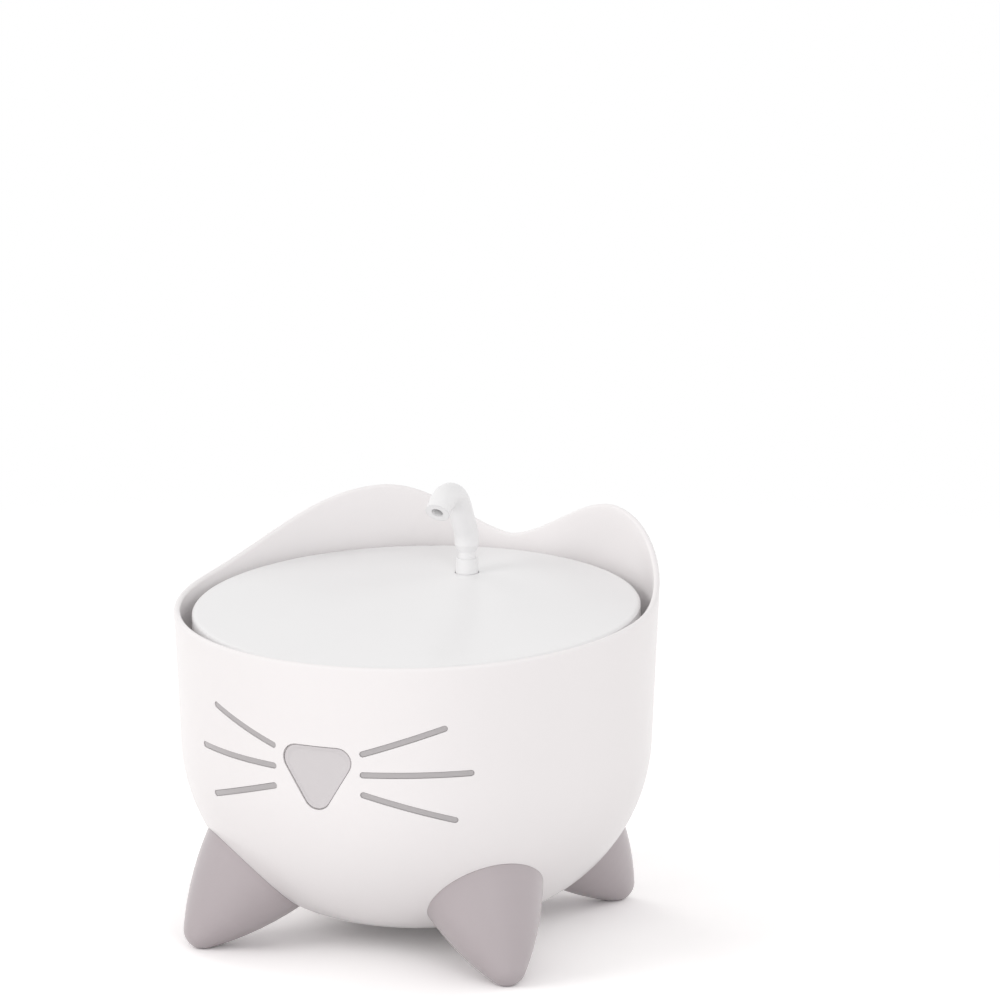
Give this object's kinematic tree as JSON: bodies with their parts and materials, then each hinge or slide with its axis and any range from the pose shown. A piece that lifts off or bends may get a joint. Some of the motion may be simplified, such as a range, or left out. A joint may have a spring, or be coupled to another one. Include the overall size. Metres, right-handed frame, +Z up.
{
  "type": "pet water fountain",
  "caption": "Cat-faced pet water fountain: eared bowl on cone feet, lift-out pump, filter tray, filter pad, sloping lid and swivelling spout.",
  "frame": {"origin": "on the floor under the middle of the bowl", "axes": "+Z up, -Y to the front where the nose is, +X to the object's left as it faces the viewer"},
  "size_m": [0.2314, 0.2315, 0.2108],
  "materials": {
    "white_shell": "satin gloss",
    "foot_grey": "matte",
    "nose_smoke": "satin, slightly translucent",
    "whisker_grey": "matte",
    "filter_plastic": "translucent",
    "filter_fabric": "woven, translucent",
    "carbon": "granular",
    "resin": "granular",
    "clear_tube": "translucent",
    "pump_plastic": "fine matte",
    "loop_rubber": "matte",
    "dark_rubber": "matte",
    "foam": "open pores",
    "iron": "rolled",
    "copper": "lacquered wire",
    "magnet": "matte",
    "impeller_plastic": "matte",
    "shaft_ceramic": "polished",
    "red_light": "clear red",
    "gland_rubber": "matte",
    "cup_rubber": "translucent"
  },
  "bodies": {
    "reservoir": {"reservoir": "white_shell", "tray_ledge": "white_shell", "ledge_ribs": "white_shell", "pump_seat": "white_shell", "foot_front_left": "foot_grey", "foot_front_right": "foot_grey", "foot_rear_left": "foot_grey", "foot_rear_right": "foot_grey", "nose_window": "nose_smoke", "whisker_left_upper": "whisker_grey", "whisker_left_middle": "whisker_grey", "whisker_left_lower": "whisker_grey", "whisker_right_upper": "whisker_grey", "whisker_right_middle": "whisker_grey", "whisker_right_lower": "whisker_grey"},
    "pump": {"pump_housing": "pump_plastic", "end_plate": "pump_plastic", "intake_cover": "pump_plastic", "cover_gasket": "dark_rubber", "intake_foam": "foam", "stator_core": "iron", "coil": "copper", "rotor_shaft": "shaft_ceramic", "bush_rear": "dark_rubber", "bush_front": "dark_rubber", "status_light": "red_light", "cord_gland": "gland_rubber", "pull_loop_upper": "loop_rubber", "pull_loop_lower": "loop_rubber", "suction_cups": "cup_rubber"},
    "rotor": {"rotor_magnet": "magnet", "impeller": "impeller_plastic"},
    "tube": {"tube": "clear_tube"},
    "tray": {"tray": "white_shell", "flow_cap": "white_shell"},
    "ring": {"cap_ring": "white_shell"},
    "filter": {"filter_cup": "filter_plastic", "filter_film": "filter_fabric", "carbon_front": "carbon", "carbon_rear": "carbon", "resin_front": "resin", "resin_rear": "resin"},
    "lid": {"lid": "white_shell"},
    "collar": {"spout_collar": "white_shell"},
    "spout": {"spout_pipe": "white_shell"}
  },
  "joints": [
    {"name": "pump_lift", "type": "slide", "parent": "reservoir", "child": "pump", "axis": [0, 0, 1], "range_m": [0, 0.125]},
    {"name": "impeller_spin", "type": "hinge", "parent": "pump", "child": "rotor", "pos_m": [-0.00887, 0.05317, 0.05003], "axis": [0.6717, 0.7408, 0], "continuous": true},
    {"name": "tube_pull", "type": "slide", "parent": "pump", "child": "tube", "axis": [0, 0, 1], "range_m": [0, 0.0123]},
    {"name": "tray_lift", "type": "slide", "parent": "tube", "child": "tray", "axis": [0, 0, 1], "range_m": [0, 0.0258]},
    {"name": "filter_lift", "type": "slide", "parent": "tray", "child": "filter", "axis": [0, 0, 1], "range_m": [0, 0.0607]},
    {"name": "ring_fold", "type": "hinge", "parent": "tray", "child": "ring", "pos_m": [0.0346, 0.05197, 0.15], "axis": [1, 0, 0], "range_deg": [0, 90]},
    {"name": "lid_lift", "type": "slide", "parent": "filter", "child": "lid", "axis": [0, 0, 1], "range_m": [0, 0.0132]},
    {"name": "spout_pull", "type": "slide", "parent": "lid", "child": "collar", "axis": [0, 0, 1], "range_m": [0, 0.031]},
    {"name": "spout_swivel", "type": "hinge", "parent": "collar", "child": "spout", "pos_m": [0, 0.05997, 0.1697], "axis": [0, 0, 1], "continuous": true}
  ],
  "couplings": [
    {"joint": "ring_fold", "follows": "filter_lift", "rad_per_m": 25.49}
  ]
}
